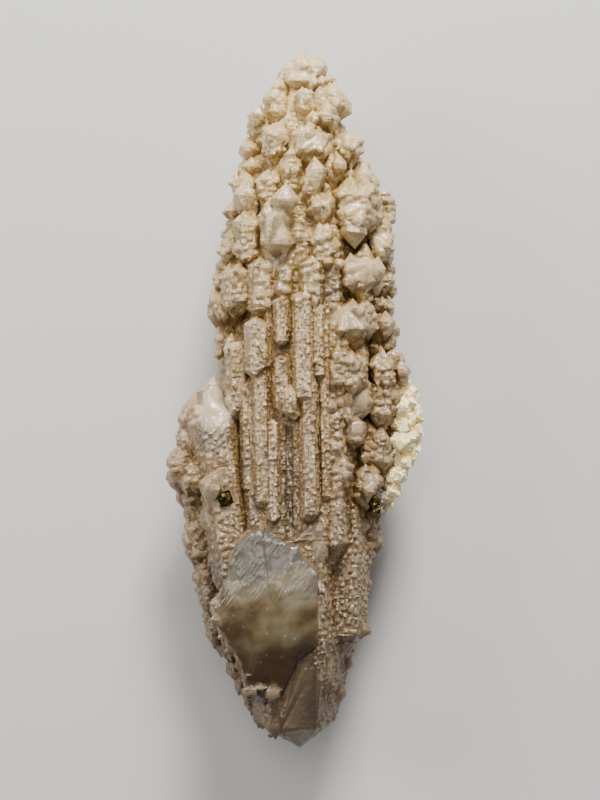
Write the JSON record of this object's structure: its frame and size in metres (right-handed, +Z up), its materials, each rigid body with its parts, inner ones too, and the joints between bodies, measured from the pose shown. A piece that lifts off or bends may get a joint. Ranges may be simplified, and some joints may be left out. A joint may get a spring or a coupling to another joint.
{
  "type": "double-terminated quartz crystal",
  "caption": "Long smoky quartz crystal pointed at both ends, armoured in small stepped crystals, with a second crystal on its left side and a pale mineral crust on its right.",
  "frame": {"origin": "middle of the crystal's outline, on the surface that it lies on", "axes": "+Y along the crystal towards its pale end, +Z up towards the side that the picture shows, +X to the right in the picture"},
  "size_m": [0.0364, 0.0998, 0.0212],
  "materials": {
    "quartz": "frosted, sparkling and translucent, pale at the upper end and smoky at the lower end",
    "feldspar": "matt, chalky and cream white",
    "pyrite": "bright metallic crystal faces"
  },
  "bodies": {
    "root": {"quartz_crystal": "quartz", "feldspar_crust": "feldspar", "pyrite_grain_left": "pyrite", "pyrite_grain_right_upper": "pyrite", "pyrite_grain_right_lower": "pyrite"}
  },
  "joints": []
}
